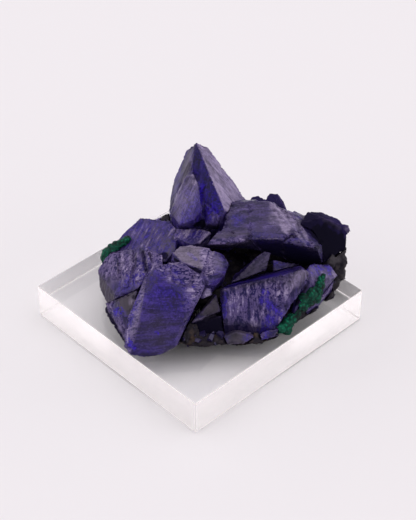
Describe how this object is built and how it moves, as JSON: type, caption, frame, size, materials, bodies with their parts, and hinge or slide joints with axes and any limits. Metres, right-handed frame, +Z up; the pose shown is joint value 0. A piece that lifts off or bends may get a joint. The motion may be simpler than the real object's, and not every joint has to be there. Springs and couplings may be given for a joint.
{
  "type": "azurite and malachite mineral specimen on an acrylic block",
  "caption": "Cluster of thick, flat-faced azurite crystals with malachite crusts on dark host rock, shown on a square block of clear acrylic.",
  "frame": {"origin": "middle of the acrylic block's underside, on the surface it stands on", "axes": "+Z up; X and Y run along the block's sides. The specimen's long way lies across the block's diagonal, along +X +Y, and its front faces +X -Y"},
  "size_m": [0.06, 0.0626, 0.0501],
  "materials": {
    "azurite": "satin",
    "malachite": "matte",
    "host_rock": "matte",
    "clear_acrylic": "polished"
  },
  "bodies": {
    "root": {"acrylic_block": "clear_acrylic", "spire_crystal": "azurite", "roof_crystal": "azurite", "front_crystal": "azurite", "right_front_crystal": "azurite", "dark_end_crystal": "azurite", "left_block_crystal": "azurite", "left_plate_crystal": "azurite", "right_rear_crystal": "azurite", "blade_crystal": "azurite", "wedge_crystal": "azurite", "nook_crystal": "azurite", "low_left_crystal": "azurite", "rim_crystal_left": "azurite", "rim_crystal_right": "azurite", "rim_crystal_end": "azurite", "back_crystal_right": "azurite", "back_crystal_middle": "azurite", "back_wedge_crystal": "azurite", "back_crystal_left": "azurite", "back_low_crystal": "azurite", "back_splinter_crystal": "azurite", "malachite_crust_left": "malachite", "malachite_crust_right": "malachite", "host_rock": "host_rock"}
  },
  "joints": []
}
